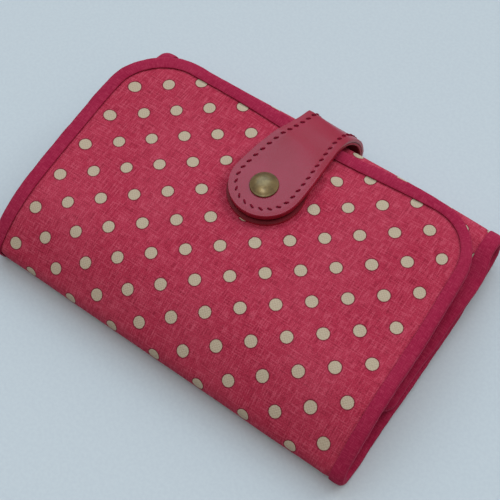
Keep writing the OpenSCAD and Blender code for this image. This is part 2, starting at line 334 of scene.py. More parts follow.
def half_width(s):
    """Half the width of linen and lining at s."""
    w = np.full_like(s, WALLET_L / 2 - LINEN_INSET)
    for over, r in corners(s):
        inside = np.sqrt(np.clip((r - LINEN_INSET) ** 2 - over ** 2, 0, None))
        w = np.where(over > 0, WALLET_L / 2 - r + inside, w)
    return w


def running(a, b):
    """Arc length at each point of a path in the plane, from 0."""
    return np.concatenate([[0], np.cumsum(np.hypot(np.diff(a), np.diff(b)))])


def add_object(name, data):
    """A new object in the scene."""
    obj = bpy.data.objects.new(name, data)
    bpy.context.scene.collection.objects.link(obj)
    return obj


def paint(obj, material):
    """Gives an object one material."""
    obj.data.materials.clear()
    obj.data.materials.append(material)


# Mesh building. Points are in millimetres, and each piece carries a flat UV map in millimetres.
def new_object(name, verts, faces, uvs, crease=40, rim=None):
    """A smooth shaded object. uvs has one pair for each vertex, and rim, if given, one number that is
    1 on a cut edge and 2 at the joint under it."""
    mesh = bpy.data.meshes.new(name)
    mesh.from_pydata((np.asarray(verts) * MM).tolist(), [], faces)
    layer = mesh.uv_layers.new(name="flat")
    corner = np.zeros(len(mesh.loops), int)
    mesh.loops.foreach_get("vertex_index", corner)
    layer.data.foreach_set("uv", np.asarray(uvs, float)[corner].astype(np.float32).ravel())
    if rim is not None:
        pairs = np.column_stack([rim, rim]).astype(np.float32)
        mesh.uv_layers.new(name="rim").data.foreach_set("uv", pairs[corner].ravel())
        mesh.uv_layers.active = layer
    work = bmesh.new()
    work.from_mesh(mesh)
    bmesh.ops.remove_doubles(work, verts=work.verts, dist=1e-7)
    bmesh.ops.dissolve_degenerate(work, edges=work.edges, dist=1e-8)
    bmesh.ops.recalc_face_normals(work, faces=work.faces)
    work.to_mesh(mesh)
    work.free()
    mesh.shade_smooth()
    mesh.set_sharp_from_angle(angle=radians(crease))
    return add_object(name, mesh)


def grid_faces(rows, cols, start=0, closed=False):
    """Quads of a grid of rows by cols, where closed joins the last column to the first."""
    faces = []
    for i in range(rows - 1):
        for j in range(cols if closed else cols - 1):
            k = (j + 1) % cols
            faces.append((start + i * cols + j, start + i * cols + k,
                          start + (i + 1) * cols + k, start + (i + 1) * cols + j))
    return faces


def tube_faces(rows, around, start):
    """Faces of a tube of rings, with a cap at each end."""
    last = start + (rows - 1) * around
    caps = [tuple(range(first, first + around)) for first in (start, last)]
    return grid_faces(rows, around, start, closed=True) + caps


def slab(name, x, s, top, bottom):
    """A closed piece between heights top and bottom over a grid of flat points x, s."""
    rows, cols = x.shape
    verts = np.concatenate([cloth(x, s, top).reshape(-1, 3), cloth(x, s, bottom).reshape(-1, 3)])
    drift = ramp(s, CUT_S, CUT_S - 80.0)
    uv = np.stack([x + DRIFT_X * drift, s + DRIFT_S * drift], axis=-1).reshape(-1, 2)
    n = rows * cols
    faces = grid_faces(rows, cols) + [f[::-1] for f in grid_faces(rows, cols, n)]
    ring = [*range(0, n, cols), *range(n - cols + 1, n)]
    ring += [*range(n - cols - 1, 0, -cols), *range(cols - 2, 0, -1)]
    for a, b in zip(ring, ring[1:] + ring[:1]):
        faces.append((a, b, n + b, n + a))
    return new_object(name, verts, faces, np.concatenate([uv, uv]))


def band(name, rings, uvs):
    """A closed strip from rings of section points, capped at both ends.
    A section's points come in pairs, first to last, second to last but one and so on."""
    rows, cols = rings.shape[:2]
    faces = grid_faces(rows, cols, closed=True)
    for start, flip in ((0, 1), ((rows - 1) * cols, -1)):
        for j in range(cols // 2 - 1):
            faces.append((start + j, start + j + 1, start + cols - 2 - j, start + cols - 1 - j)[::flip])
    return new_object(name, rings.reshape(-1, 3), faces, uvs.reshape(-1, 2))


# Padded panels. The linen stands a little lower on the back, where its tape lies flush.
LINEN_INSET = 2.0
SEAM_DIP = 0.28
SEAM_REACH = 1.1
CROWN = 0.12
CROWN_REACH = 7.0
PUCKER = 0.07
SWELL = 0.22
PATCH_REACH = 3.2
PATCH_SINK = 0.55
BACK_DROP = 0.3


def on_front(s):
    """1 on the front flap, 0 on the back panel, and a smooth step over the lower fold."""
    return ramp(s, 1.0, 15.0)


def patch_distance(x, y):
    """Distance of a plan point outside the patch's outline under the tab's head."""
    lean = radians(TAB_LEAN)
    dx = x - SNAP_X
    dy = y - SNAP_Y
    across = dx * cos(lean) - dy * sin(lean)
    along = dx * sin(lean) + dy * cos(lean)
    half = tab_half(along) + PATCH_OVER
    round_end = np.hypot(across, np.minimum(along - SNAP_OFFSET, 0)) - (HEAD_R + PATCH_OVER)
    side = np.where(along < SNAP_OFFSET, round_end, np.abs(across) - half)
    return np.maximum(side, y - (SNAP_Y + HEAD_R + SNAP_OFFSET))


def tab_half(along):
    """Half the tab's width at a distance from the snap's centre toward the root."""
    t = np.clip((along - SNAP_OFFSET) / (SNAP_REACH - 2 * SNAP_OFFSET), 0, 1)
    return NECK_HALF + (HEAD_R - NECK_HALF) * (1 + np.cos(pi * t)) / 2


def from_seam(x, s):
    """Distance of a flat point inward from the binding's seam."""
    return np.clip(edge_distance(x, s) - BINDING_W, 0, None)


def linen_top(x, s):
    """Height of the linen's face: a crown, a dip at the seam, small puckers and a slow swell."""
    inside = from_seam(x, s)
    front = on_front(s)
    h = -BACK_DROP * (1 - front)
    h = h - SEAM_DIP * np.exp(-(inside / SEAM_REACH) ** 1.5)
    h = h + CROWN * front * (1 - np.exp(-inside / CROWN_REACH))
    h = h + PUCKER * np.exp(-inside / 4.0) * ripple(x, s, 5.0, 3)
    h = h + SWELL * (0.3 + 0.7 * front) * ripple(x, s, 42.0, 8) * ramp(inside, 0, 12.0)
    y = np.interp(s, cloth_s, cloth_y)
    dent = ramp(patch_distance(x, y), PATCH_REACH, 0)
    return h - (PRESS + CROWN + PATCH_SINK) * dent * (s > S_HINGE)


def panel_grid(s, fine=0.45):
    """Grid of flat points over rows s, finer near the sides."""
    reach = 11.0
    half = WALLET_L / 2 - LINEN_INSET
    side = steps((0.0, fine), (reach, 1.3), (half, 1.0))
    share = np.concatenate([side - half, (half - side)[::-1][1:]]) / half
    return half_width(s)[:, None] * share[None, :], np.repeat(s[:, None], len(share), axis=1)


FRONT_S = steps((CUT_S, 1.2), (S_MAX - FLAP_CORNER_R, 0.7), (S_MAX - 9.0, 0.4), (S_MAX - LINEN_INSET, 1))
BACK_S = steps((S_MIN + LINEN_INSET, 0.4), (S_MIN + 9.0, 0.8), (S_MIN + INNER_CORNER_R, 1.2), (CUT_S, 1))


def make_panel(name, rows):
    x, s = panel_grid(rows)
    return slab(name, x, s, linen_top(x, s), np.full_like(x, -(COVER_T + WADDING_T)))


def make_lining(name, rows):
    x, s = panel_grid(rows, fine=0.9)
    wave = 0.1 * ripple(x, s, 23.0, 21) * ramp(from_seam(x, s), 0, 9.0)
    return slab(name, x, s, np.full_like(x, -(COVER_T + WADDING_T) - 0.01), -PANEL_T + wave)


# The binding: a tape folded over the edge. Each row is the distance inward from the edge, the place
# across the section as a share from the outer face to the inner one, and a shift in millimetres.
# The tape is narrower on the flap's right side, wider on the inner flap and in a bulge by the strap.
TAPE_TURN = 3.5
TAPE_WALL = 0.42
TAPE_CORNER = 0.38
TAPE_NARROW = 0.17
TAPE_WIDE = 0.24
TAPE_BULGE = 0.15
BULGE_AT = -14.0
BULGE_REACH = 9.0
TAPE_SECTION = (
    (5.30, 0.0, -0.36), (5.22, 0.0, -0.12), (4.95, 0.0, 0.0), (4.2, 0.0, 0.06), (3.2, 0.0, 0.08),
    (2.2, 0.0, 0.05), (1.45, 0.0, -0.06), (0.85, 0.0, -0.26), (0.4, 0.0, -0.56), (0.12, 0.0, -0.98),
    (0.0, 0.5, 0.0), (0.12, 1.0, 0.98), (0.4, 1.0, 0.56), (0.85, 1.0, 0.26), (1.45, 1.0, 0.06),
    (2.2, 1.0, 0.0), (3.2, 1.0, 0.0), (4.2, 1.0, 0.0), (4.95, 1.0, 0.03), (5.30, 1.0, 0.3))


def outline(corner_r, end, way):
    """Flat points and inward normals along one end of the wallet, from one side round to the other."""
    half = WALLET_L / 2
    stop = end - way * corner_r
    side = [(-half, s, 1, 0) for s in steps((CUT_S, 1.1), (stop, 1))[:-1]]
    side += [(-half + corner_r * (1 - cos(a)), stop + way * corner_r * sin(a), cos(a), -way * sin(a))
             for a in np.linspace(0, pi / 2, 33)[:-1]]
    middle = [(x, end, 0, -way) for x in steps((-half + corner_r, 1.1), (half - corner_r, 1))]
    return np.array(side + middle + [(-x, s, -nx, ns) for x, s, nx, ns in side[::-1]])


def make_binding(name, points, seed):
    """Sweeps the tape's section along an outline, slightly uneven as sewn cloth is."""
    inward, share, shift = np.array(TAPE_SECTION).T[:, None]
    x0, s0, nx, ns = points.T[:, :, None]
    along = running(points[:, 0], points[:, 1])[:, None]
    front = on_front(s0)
    top = BINDING_T * front
    bottom = -PANEL_T - BINDING_T
    uneven = 1 + 0.022 * ripple(along, 0, 17.0, seed) + 0.012 * ripple(along, 0, 5.0, seed + 1)
    right_side = ramp(s0, 4.0, 16.0) * ramp(x0, 40.0, 52.0)
    kept = 1 - TAPE_NARROW * right_side * ramp(2.2 - 1.4 * np.abs(ns), 0, 1)
    kept = kept + TAPE_WIDE * ramp(s0, S_TOP, S_TOP - 10.0)
    kept = kept + TAPE_BULGE * np.exp(-((x0 - BULGE_AT) / BULGE_REACH) ** 2) * (s0 > S_MAX - 1.0)
    puff = 0.05 * ripple(along, inward, 6.0, seed + 2) * np.sin(pi * inward / BINDING_W)
    d_out = BINDING_W - (BINDING_W - inward) * uneven * kept
    h_out = top + (bottom - top) * share + shift
    h_out = h_out + puff * (share < 0.5) * front
    d_in = np.clip(d_out, d_out.min(axis=1, keepdims=True) + TAPE_WALL, None)
    corner = TAPE_CORNER * (1 - 2 * share) * ramp(inward, 1.3, 0.4)
    h_in = np.clip(h_out - corner, bottom + TAPE_WALL, top - TAPE_WALL)
    d = np.concatenate([d_out, d_in[:, ::-1]], axis=1)
    h = np.concatenate([h_out, h_in[:, ::-1]], axis=1)
    rings = cloth(x0 + d * nx, s0 + d * ns, h)
    run = running(inward[0], shift[0] + TAPE_TURN * share[0])
    across = np.concatenate([run, run[::-1]])[None, :]
    return band(name, rings, np.stack(np.broadcast_arrays(along, across), axis=-1)), float(along[-1, 0])


# The leather strap, from its sewn end under the back panel out round the loop and down to the head.
tab_slope = float(look_up(flap_rows, SNAP_Y, Y, ANGLE))
snap_z = float(look_up(flap_rows, SNAP_Y, Y, Z))
head_n = (-sin(radians(tab_slope)), cos(radians(tab_slope)))
seat = (SNAP_Y + TAB_TOP * head_n[0], snap_z + TAB_TOP * head_n[1])
hinge = (Y_TOP + LOOP_OUT, LOOP_LOW_R * (1 + sin(radians(LEG_LEAN))))
leg_a = 90 + LEG_LEAN
seat_rise = (seat[0] - hinge[0]) * head_n[0] + (seat[1] - hinge[1]) * head_n[1]
leg_l = seat_rise / cos(radians(LEG_LEAN - tab_slope))
crest_turn = 180 + tab_slope - leg_a
leg_run = leg_l - CREST_R * tan(radians(crest_turn / 2))
root_run = hinge[0] - LOOP_LOW_R * cos(radians(LEG_LEAN)) - ROOT_END
strap_rows = trace(ROOT_END, 0.0, 0.0, [
    (root_run, 0), (arc(LOOP_LOW_R, leg_a), leg_a), (leg_run, leg_a),
    (arc(CREST_R, crest_turn), 180 + tab_slope), (60.0, 180 + tab_slope)])
T_HINGE = root_run + arc(LOOP_LOW_R, leg_a)
head_rows = strap_rows[strap_rows[:, ANGLE] > 179.9 + tab_slope]
lean_cos = cos(radians(TAB_LEAN))
head_y = SNAP_Y + SNAP_OFFSET * lean_cos
T_HEAD = float(look_up(head_rows[::-1], head_y, Y, RUN))


def tab_x(y):
    """Where the tab's centre line runs over y."""
    return SNAP_X + (y - SNAP_Y) * tan(radians(TAB_LEAN))


def strap_centre(t):
    """Centre line's x and half width at arc length t."""
    y = look_up(strap_rows, t, RUN, Y)
    on_tab = t > T_HINGE
    half = np.where(on_tab, tab_half((y - SNAP_Y) / lean_cos), NECK_HALF)
    return tab_x(np.where(on_tab, y, hinge[0])), half


# Where the loop's two edges run, as rows of arc length, y and z. The left edge is creased sharply and
# the right one bends in a round, lower down.
LOOP_TO = 84.0
LEFT_LOOP = ((54.1, 48.5, 24.2), (70.0, 33.1, 27.9), (76.0, 27.1, 27.3))
RIGHT_LOOP = ((37.6, 55.5, 8.4), (41.6, 54.7, 11.1), (45.6, 53.3, 14.0), (49.6, 51.1, 17.4),
              (53.6, 48.3, 20.4), (57.6, 44.9, 22.6), (61.6, 41.1, 23.9), (65.6, 37.1, 24.2),
              (69.6, 33.1, 24.7), (75.6, 27.1, 25.9))
LOOP_SIDES = (-6.0, 12.0)


def loop_table(knots, step=0.25, width=7):
    """Rows of arc length, y, z and their changes along the strap, softly rounded at the knots."""
    t = np.arange(-3.0, strap_rows[-1, 0], step)
    ends = [[at] + [look_up(strap_rows, at, RUN, k) for k in (Y, Z)] for at in (T_HINGE, LOOP_TO)]
    path = np.array([ends[0], *knots, ends[1]])
    inside = (t > T_HINGE) & (t < LOOP_TO)
    columns = [t]
    for k in (Y, Z):
        plain = look_up(strap_rows, t, RUN, k) + (k == Y) * np.minimum(t, 0)
        level = np.where(inside, look_up(path, t, RUN, k), plain)
        for _ in range(2):
            padded = np.pad(level, width // 2, mode="edge")
            soft = np.convolve(padded, np.full(width, 1 / width), mode="valid")
            level = np.where(t > T_HINGE - 4.0, soft, level)
        columns.append(level)
    return np.column_stack(columns + [np.gradient(columns[1], step), np.gradient(columns[2], step)])


left_loop = loop_table(LEFT_LOOP)
right_loop = loop_table(RIGHT_LOOP, width=11)


def strap(x, t, h):
    """The place of flat strap point (x, t) at height h over its outer face."""
    x, t, h = np.broadcast_arrays(x, t, h)
    share = np.clip((x - LOOP_SIDES[0]) / (LOOP_SIDES[1] - LOOP_SIDES[0]), 0, 1)
    y, z, dy, dz = ((1 - share) * look_up(left_loop, t, RUN, k) + share * look_up(right_loop, t, RUN, k)
                    for k in (1, 2, 3, 4))
    size = np.hypot(dy, dz)
    return np.stack([x, y + h * dz / size, z - h * dy / size], axis=-1)


# Sewing of the leather, how far the backing stays inside the edge, how deep the root's stitches and
# the patch's rim are sunk, and how far the patch's sides are tucked in under the head.
CHANNEL = 0.06
SEAM_INSET = 2.6
STRAP_STITCH = {"pitch": 2.95, "length": 1.35, "radius": 0.32, "sink": 0.4, "slant": 0.85}
PATCH_STITCH = {"pitch": 2.9, "length": 2.0, "radius": 0.25, "sink": 0.2}
PATCH_SEAM_INSET = 2.2
HOLE_R = 0.36
BACKING_INSET = 0.08
ROOT_SINK = 0.5
TUCK = 0.8
RIM_SINK = 0.6


def spine(t_from, centre, fan=28):
    """Rows across a strap: foot point, direction to its left edge and half width, in flat strap
    coordinates. Behind T_HEAD they cross the centre line, and past it they fan out round the head."""
    rows = []
    for t in steps((t_from, 0.8), (T_HEAD, 1)):
        x, half = centre(t)
        a = atan2(centre(t + 0.05)[0] - centre(t - 0.05)[0], 0.1)
        rows.append((float(x), t, -cos(a), sin(a), float(half)))
    x, t, ux, ut, half = rows[-1]
    a0 = atan2(ut, ux)
    for a in np.linspace(0, pi / 2, fan + 1)[1:]:
        rows.append((x, t, cos(a0 - a), sin(a0 - a), half))
    return np.array(rows)


def other_side(rows):
    """The same rows toward the right edge. Past T_HEAD they fan out the other way round."""
    out = rows.copy()
    straight = rows[:, 1] < T_HEAD - 1e-6
    first = rows[straight][-1, 2:4]
    along = rows[~straight, 2:4] @ first
    out[straight, 2:4] *= -1
    out[~straight, 2:4] -= 2 * along[:, None] * first
    return out


def leather(name, rows, section, place):
    """A closed leather piece. section has rows as section_of gives them, from the middle of the outer
    face over the edge to the middle of the inner face."""
    inward, level, edge = np.array(section).T[:, None]
    verts, faces, uvs, rim = [], [], [], []
    for side in (rows, other_side(rows)):
        x0, t0, ux, ut, half = side.T[:, :, None]
        reach = np.where(inward >= 0, np.clip(half - inward, 0, None), 0)
        x = x0 + reach * ux
        t = t0 + reach * ut
        start = len(verts)
        verts.extend(place(x, t, level).reshape(-1, 3))
        uvs.extend(np.stack([x, t], axis=-1).reshape(-1, 2))
        rim.extend(np.broadcast_to(edge, x.shape).ravel())
        n_rows, n_cols = x.shape
        faces += grid_faces(n_rows, n_cols, start)
        for j in range(n_cols // 2 - 1):
            k = n_cols - 1 - j
            faces.append((start + j, start + j + 1, start + k - 1, start + k))
    return new_object(name, verts, faces, uvs, crease=30, rim=rim)


def section_of(top, bottom, edge, channel=0.0):
    """Section of one leather layer between two heights, with a crisp cut edge and a sewing channel.
    Each row is distance in from the edge, where -1 stands for the middle, height and rim number."""
    outer = [(d, top, 0) for d in (-1, 7.0, 5.0, 4.0, 3.4)]
    outer += [(SEAM_INSET + off, top - dip * channel, 0)
              for off, dip in ((0.5, 0.3), (0.18, 1), (-0.18, 1), (-0.5, 0.3))]
    outer += [(1.7, top, 0), (1.0, top - 0.05, 0), (0.5, top - 0.14, 0)]
    outer += [(edge * (1 - sin(a)), top - 0.14 - edge * (1 - cos(a)), rim)
              for a, rim in ((radians(30), 0), (radians(60), 0.6), (radians(90), 1))]
    inner = [(0.0, bottom + 1.2 * edge, 1), (0.25 * edge, bottom + 0.4 * edge, 2), (edge, bottom, 2)]
    inner += [(d, bottom, 0) for d in (0.8, 1.2, 1.7, 2.2, 2.6, 3.0, 3.4, 4.0, 5.0, 7.0, 8.0, -1)]
    return outer + inner


# Threads.
def stitches(name, line, place, pitch, length, radius, sink, slant=0.0):
    """Short threads along a flat line of points, each arched, with its ends sunk in the material.
    slant shifts a stitch's two ends to opposite sides of the line. Gives the object and the places
    where thread goes in."""
    line = np.array(line)
    run = running(line[:, 0], line[:, 1])
    count = int(run[-1] / pitch)
    around = 6
    turns = 2 * pi * np.arange(around) / around
    share = np.array((0.0, 0.08, 0.25, 0.5, 0.75, 0.92, 1.0))
    lift = np.array((-sink / radius, 0.1, 0.55, 0.75, 0.55, 0.1, -sink / radius)) * radius
    thick = np.array((0.55, 0.85, 1.0, 1.0, 1.0, 0.85, 0.55)) * radius
    verts, faces, uvs, holes = [], [], [], []
    for i in range(count):
        at = (i + 0.5) * run[-1] / count + (share - 0.5) * length
        x = np.interp(at, run, line[:, 0])
        t = np.interp(at, run, line[:, 1])
        dx, dt = x[-1] - x[0], t[-1] - t[0]
        aside = slant * (share - 0.5) / hypot(dx, dt)
        x, t = x - aside * dt, t + aside * dx
        centre = place(x, t, lift)
        up = place(x, t, lift + 1) - centre
        ahead = np.gradient(centre, axis=0)
        ahead /= np.linalg.norm(ahead, axis=1)[:, None]
        across = np.cross(ahead, up)
        across /= np.linalg.norm(across, axis=1)[:, None]
        up = np.cross(across, ahead)
        start = len(verts)
        rings = [centre + thick[:, None] * (cos(a) * across + sin(a) * up) for a in turns]
        verts.extend(np.stack(rings, axis=1).reshape(-1, 3))
        uvs.extend([(a, k / around) for a in at for k in range(around)])
        faces += tube_faces(len(share), around, start)
        holes += [(x[1], t[1]), (x[-2], t[-2])]
    return new_object(name, verts, faces, uvs, crease=60), holes


def seam_line(rows, inset):
    """The flat line at a distance in from the edge, up the left side, round the head and back."""
    left, right = (side[:, :2] + (side[:, 4:] - inset) * side[:, 2:4] for side in (rows, other_side(rows)))
    return np.concatenate([left, right[::-1][1:]])


def revolve(name, profile, centre, slope, around=64):
    """A closed piece turned from a profile of (radius, height) that starts and ends on the axis."""
    r, h = np.array(profile).T[:, :, None]
    a = np.linspace(0, 2 * pi, around, endpoint=False)
    x, y, z = np.broadcast_arrays(r * np.cos(a), r * np.sin(a), h)
    c, d = cos(radians(slope)), sin(radians(slope))
    pts = np.stack([centre[0] + x, centre[1] + y * c - z * d, centre[2] + y * d + z * c], axis=-1)
    run = running(r[:, 0], h[:, 0])[:, None]
    uv = np.stack(np.broadcast_arrays(a * CAP_R, run), axis=-1)
    faces = grid_faces(len(profile), around, closed=True)
    return new_object(name, pts.reshape(-1, 3), faces, uv.reshape(-1, 2), crease=50)


# Materials.
class Nodes:
    """Short ways to add nodes to a node tree."""

    def __init__(self, tree):
        self.tree = tree

    def add(self, kind, inputs=None, **settings):
        """A new shader node with its settings and its inputs, by number or name."""
        node = self.tree.nodes.new("ShaderNode" + kind)
        for key, value in settings.items():
            setattr(node, key, value)
        for key, value in (inputs or {}).items():
            self.feed(node.inputs[key], value)
        return node

    def feed(self, socket, value):
        """Links an output to a socket, or sets the socket to a plain value."""
        if hasattr(value, "is_output"):
            self.tree.links.new(value, socket)
        else:
            socket.default_value = value

    def math(self, op, a, b=0.0):
        return self.add("Math", {0: a, 1: b}, operation=op).outputs[0]

    def plus(self, a, b):
        return self.math("ADD", a, b)

    def times(self, a, b):
        return self.math("MULTIPLY", a, b)

    def mix(self, share, a, b):
        return self.add("Mix", {0: share, 6: a, 7: b}, data_type="RGBA").outputs[2]


class Paint(Nodes):
    """One procedural material."""

    def __init__(self, name):
        self.mat = bpy.data.materials.new(name)
        self.mat.use_nodes = True
        super().__init__(self.mat.node_tree)
        self.shader = self.tree.nodes["Principled BSDF"]

    def uv(self, layer="flat"):
        """A layer's coordinates, as a vector and as two numbers. Those of flat are millimetres."""
        vector = self.add("UVMap", uv_map=layer).outputs[0]
        parts = self.add("SeparateXYZ", {0: vector})
        return vector, parts.outputs[0], parts.outputs[1]

    def solid(self):
        """Coordinates in the object's own space."""
        return self.add("TexCoord").outputs["Object"]

    def scaled(self, vector, x, y):
        return self.add("VectorMath", {0: vector, 1: (x, y, 1.0)}, operation="MULTIPLY").outputs[0]

    def noise(self, vector, scale, detail=2.0, rough=0.5):
        inputs = {"Vector": vector, "Scale": scale, "Detail": detail, "Roughness": rough}
        return self.add("TexNoise", inputs).outputs["Fac"]

    def cells(self, vector, scale):
        return self.add("TexVoronoi", {"Vector": vector, "Scale": scale}).outputs["Distance"]

    def between(self, value, low, high, out_low=0.0, out_high=1.0):
        """Maps a value from low..high to out_low..out_high, and stops at both ends."""
        inputs = dict(enumerate((value, low, high, out_low, out_high)))
        return self.add("MapRange", inputs, interpolation_type="SMOOTHSTEP").outputs[0]

    def bump(self, value, strength, distance):
        """A normal from a height. distance is in millimetres."""
        inputs = {"Strength": strength, "Distance": distance * MM, "Height": value}
        return self.add("Bump", inputs).outputs[0]

    def finish(self, color, normal, roughness, **constants):
        """Sets the shader's sockets. Those of constants are named with _ for a space."""
        for name, value in (("Base Color", color), ("Roughness", roughness), ("Normal", normal)):
            self.feed(self.shader.inputs[name], value)
        for name, value in constants.items():
            self.shader.inputs[name.replace("_", " ")].default_value = value
        return self.mat


def weave(p, vector, x, s, pitch):
    """Height of a plain weave, and streaks of uneven yarn along both directions."""
    turn = pi / pitch
    check = p.times(p.math("SINE", p.times(x, turn)), p.math("SINE", p.times(s, turn)))
    warp = p.noise(p.scaled(vector, 2.3, 0.24), 1.0, 2.0, 0.6)
    weft = p.noise(p.scaled(vector, 0.22, 2.3), 1.0, 2.0, 0.6)
    return check, warp, weft


# Colours. Cloth and leather have a base tone, a lighter one and a darker one.
LINEN = (srgb(168, 42, 70), srgb(202, 92, 114), srgb(116, 18, 40))
TAPE = (srgb(148, 20, 62), srgb(188, 72, 100), srgb(112, 14, 40))
LINING = (srgb(150, 48, 80), srgb(176, 84, 112), srgb(112, 30, 58))
POCKET = (srgb(164, 62, 92), srgb(190, 100, 126), srgb(122, 38, 66))
HIDE = (srgb(140, 8, 48), srgb(150, 20, 60), srgb(108, 4, 26))
BACKING = (srgb(112, 26, 44), srgb(130, 40, 58), srgb(78, 14, 28))
PATCH_HIDE = (srgb(112, 26, 38), srgb(122, 32, 46), srgb(84, 14, 26))
DOT_COLOR = srgb(178, 168, 146)
DOT_LIGHT = srgb(196, 186, 166)
DOT_DARK = srgb(150, 128, 104)
DOT_RIM = srgb(96, 22, 38)
HIDE_EDGE = srgb(164, 32, 56)
RAW_EDGE = srgb(150, 84, 62)
THREAD_COLOR = srgb(104, 4, 32)
THREAD_LIGHT = srgb(126, 12, 44)
# Needle holes: painted shade, dark discs that stand in for the holes' depth.
HOLE_SHADE_COLOR = srgb(52, 6, 18)
HOLE_SHADE_DARK = (*(0.6 * v for v in HOLE_SHADE_COLOR[:3]), 1.0)
BRASS_COLOR = srgb(128, 112, 74)
BRASS_DARK = srgb(78, 66, 44)
CLOTH_ROUGH = 0.85
CLOTH_SHINE = 0.2


def cloth_color(p, vector, yarn, tones, strength):
    """Yarn-dyed colour: streaks along warp and weft, tiny pale fibres and a slow mottle."""
    check, warp, weft = yarn
    base, light, dark = tones
    color = base
    for fibres, start, end, share, tone in (
            (warp, 0.48, 0.7, 0.75, light), (warp, 0.48, 0.26, 0.85, dark),
            (weft, 0.5, 0.72, 0.7, light), (weft, 0.46, 0.26, 0.8, dark)):
        color = p.mix(p.between(fibres, start, end, 0, share * strength), color, tone)
    color = p.mix(p.between(check, -1.0, 1.0, 0.14, 0.0), color, dark)
    fibre = p.noise(p.scaled(vector, 1.2, 1.6), 1.0, 4.0, 0.75)
    color = p.mix(p.between(fibre, 0.69, 0.8, 0, 0.5 * strength), color, light)
    slow = p.noise(vector, 0.045)
    return p.mix(p.between(slow, 0.35, 0.7, 0.0, 0.16 * strength), color, light)


def from_lattice(p, value, first, pitch, shift):
    """Distance along one axis from the nearest line of dots, shift pitches off the first."""
    turn = p.plus(p.math("DIVIDE", p.math("SUBTRACT", value, first), pitch), 0.5 + shift)
    return p.times(p.math("SUBTRACT", p.math("FRACT", turn), 0.5), pitch)


def linen_material():
    """Linen printed with two lattices of pale dots, each with a dark rim where the dye gathers."""
    p = Paint("linen")
    vector, x, s = p.uv()
    check, warp, weft = weave(p, vector, x, s, 0.52)
    color = cloth_color(p, vector, (check, warp, weft), LINEN, 0.7)
    far = None
    for shift in (0.0, 0.5):
        du, dv = (from_lattice(p, value, first, pitch, shift)
                  for value, first, pitch in ((x, DOT_X0, DOT_PITCH_X), (s, DOT_S0, DOT_PITCH_S)))
        d = p.math("SQRT", p.plus(p.times(du, du), p.times(dv, dv)))
        far = d if far is None else p.math("MINIMUM", far, d)
    rough_edge = p.times(p.math("SUBTRACT", p.noise(vector, 1.4), 0.5), 0.22)
    far = p.plus(far, rough_edge)
    rim = p.between(far, DOT_R + 0.5, DOT_R + 0.14)
    dot = p.between(far, DOT_R + 0.05, DOT_R - 0.07)
    color = p.mix(p.times(rim, 0.8), color, DOT_RIM)
    yarn = p.between(p.plus(warp, weft), 0.7, 1.3)
    pale = p.mix(p.times(yarn, 0.25), DOT_COLOR, DOT_LIGHT)
    pale = p.mix(p.between(check, 1.0, -1.0, 0.0, 0.16), pale, DOT_DARK)
    color = p.mix(dot, color, pale)
    rise = p.plus(p.times(check, 0.35), p.plus(warp, weft))
    normal = p.bump(rise, 0.5, 0.16)
    return p.finish(color, normal, CLOTH_ROUGH, Specular_IOR_Level=CLOTH_SHINE)


# How far along the tape's section its outer edge runs. There the colour is lighter: wear, and a painted
# highlight on the fold.
TAPE_EDGE = 6.6


def plain_cloth(name, tones, edge=None):
    """A fine plain cloth, lighter along the line where s is edge: wear, and a painted highlight on the fold.
    """
    p = Paint(name)
    vector, x, s = p.uv()
    check, warp, weft = weave(p, p.scaled(vector, 1.5, 1.5), x, s, 0.38)
    color = cloth_color(p, vector, (check, warp, weft), tones, 0.5)
    if edge is not None:
        # Lighter band along the tape's fold: wear, and a painted highlight.
        wear_and_highlight = p.noise(p.scaled(vector, 1.3, 2.5), 1.0, 3.0, 0.6)
        close = p.times(p.between(s, edge - 1.0, edge - 0.2), p.between(s, edge + 1.2, edge + 0.2))
        color = p.mix(p.times(close, p.between(wear_and_highlight, 0.3, 0.75, 0.25, 0.8)), color, tones[1])
    rise = p.plus(p.times(check, 0.5), p.plus(warp, weft))
    normal = p.bump(rise, 0.45, 0.1)
    return p.finish(color, normal, CLOTH_ROUGH, Specular_IOR_Level=CLOTH_SHINE)


def leather_material(name, tones, rough, shine):
    """Fine grained leather with coloured cut edges and a bare line at the joint under them."""
    base, light, dark = tones
    p = Paint(name)
    vector, x, t = p.uv()
    grain = p.cells(vector, 2.1)
    fine = p.noise(vector, 2.6, 4.0, 0.6)
    slow = p.noise(vector, 0.11, 3.0, 0.55)
    color = p.mix(p.between(slow, 0.35, 0.7, 0.0, 0.45), base, light)
    color = p.mix(p.between(fine, 0.55, 0.25, 0.0, 0.3), color, dark)
    color = p.mix(p.between(grain, 0.25, 0.0, 0.0, 0.15), color, dark)
    rim = p.uv("rim")[1]
    color = p.mix(p.between(rim, 0.2, 0.9, 0.0, 0.9), color, HIDE_EDGE)
    color = p.mix(p.between(rim, 1.3, 1.9, 0.0, 0.6), color, RAW_EDGE)
    normal = p.bump(p.plus(p.times(grain, 0.6), fine), 0.3, 0.1)
    roughness = p.between(fine, 0.3, 0.7, rough + 0.06, rough - 0.06)
    return p.finish(color, normal, roughness, Specular_IOR_Level=shine)


def thread_material():
    """Sewing thread with its twist."""
    p = Paint("thread")
    vector, x, s = p.uv()
    twist = p.math("SINE", p.times(p.plus(x, p.times(s, 0.5)), 4 * pi))
    color = p.mix(p.between(twist, -1.0, 1.0), THREAD_COLOR, THREAD_LIGHT)
    return p.finish(color, p.bump(twist, 0.5, 0.05), 0.7, Specular_IOR_Level=0.15)


def metal_material():
    """Aged brass under a thin lacquer, with dark stains."""
    p = Paint("brass")
    where = p.solid()
    stain = p.noise(where, 420.0, 4.0, 0.6)
    fine = p.noise(where, 2600.0, 3.0, 0.6)
    color = p.mix(p.between(stain, 0.35, 0.72, 0.0, 0.55), BRASS_COLOR, BRASS_DARK)
    color = p.mix(p.between(fine, 0.5, 0.75, 0.0, 0.25), color, BRASS_DARK)
    roughness = p.between(stain, 0.3, 0.7, 0.36, 0.44)
    return p.finish(color, p.bump(fine, 0.08, 0.02), roughness,
                    Metallic=0.9, Coat_Weight=0.5, Coat_Roughness=0.22)


